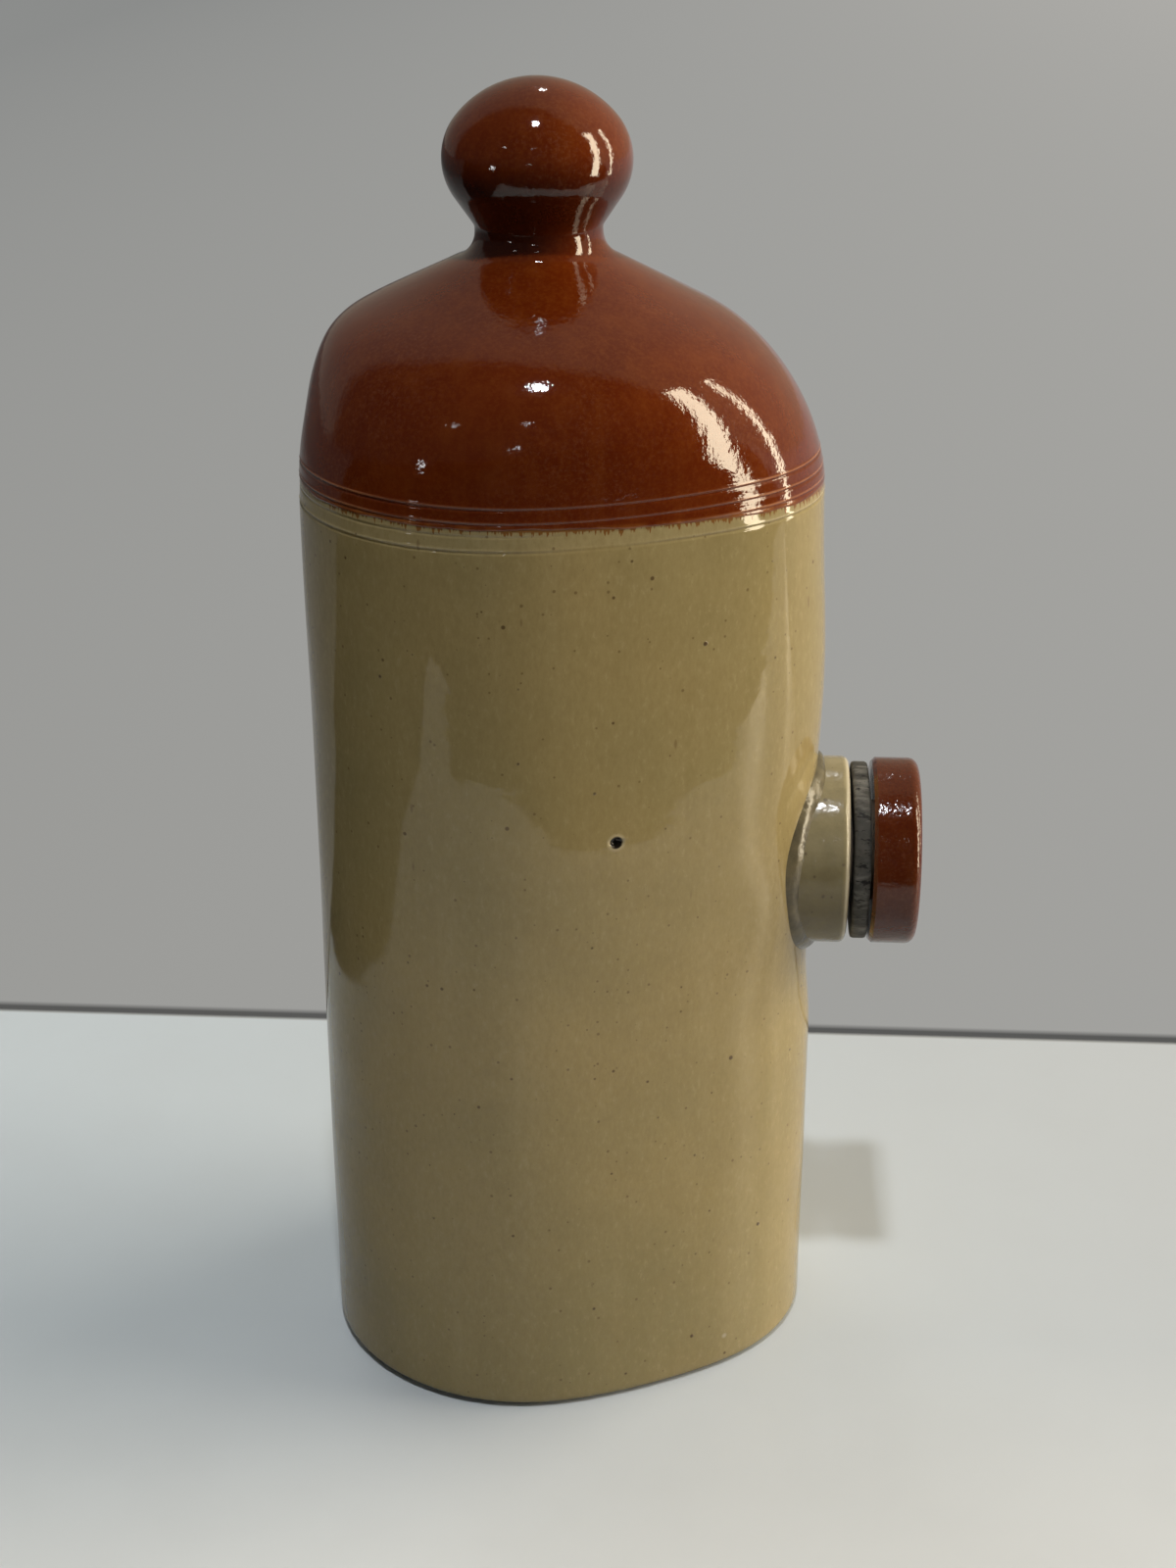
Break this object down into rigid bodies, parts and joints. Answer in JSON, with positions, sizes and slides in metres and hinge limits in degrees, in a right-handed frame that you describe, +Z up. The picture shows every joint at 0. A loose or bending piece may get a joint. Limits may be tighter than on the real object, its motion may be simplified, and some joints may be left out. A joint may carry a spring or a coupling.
{
  "type": "stoneware hot water bottle",
  "caption": "Upright stoneware hot water bottle with a carrying knob, a filler neck low in the side wall and a hand-turned screw stopper with a rubber washer.",
  "frame": {"origin": "where the knob's axis meets the plane that the base stands on", "axes": "+Z up along the knob's axis, +X out of the filler neck, +Y to complete a right-handed frame"},
  "size_m": [0.1326, 0.1028, 0.2846],
  "materials": {
    "bare_base": "matte",
    "cream_glaze": "gloss",
    "brown_glaze": "gloss",
    "grey_glaze": "gloss",
    "old_rubber": "matte",
    "bare_stoneware": "matte"
  },
  "bodies": {
    "bottle": {"base_slab": "bare_base", "body_barrel": "cream_glaze", "shoulder_dome": "brown_glaze", "knob_handle": "brown_glaze", "luting_roll": "grey_glaze", "filler_neck": "grey_glaze"},
    "washer": {"rubber_washer": "old_rubber"},
    "stopper": {"stopper_shank": "bare_stoneware", "stopper_head": "brown_glaze"}
  },
  "joints": [
    {"name": "stopper_travel", "type": "slide", "parent": "bottle", "child": "washer", "axis": [1, 0, 0], "range_m": [-0.00026, 0.02601]},
    {"name": "stopper_turn", "type": "hinge", "parent": "washer", "child": "stopper", "pos_m": [0.0675, 0, 0.118], "axis": [1, 0, 0], "range_deg": [-14, 1440]}
  ],
  "couplings": [
    {"joint": "stopper_travel", "follows": "stopper_turn", "m_per_rad": 0.0010345}
  ]
}
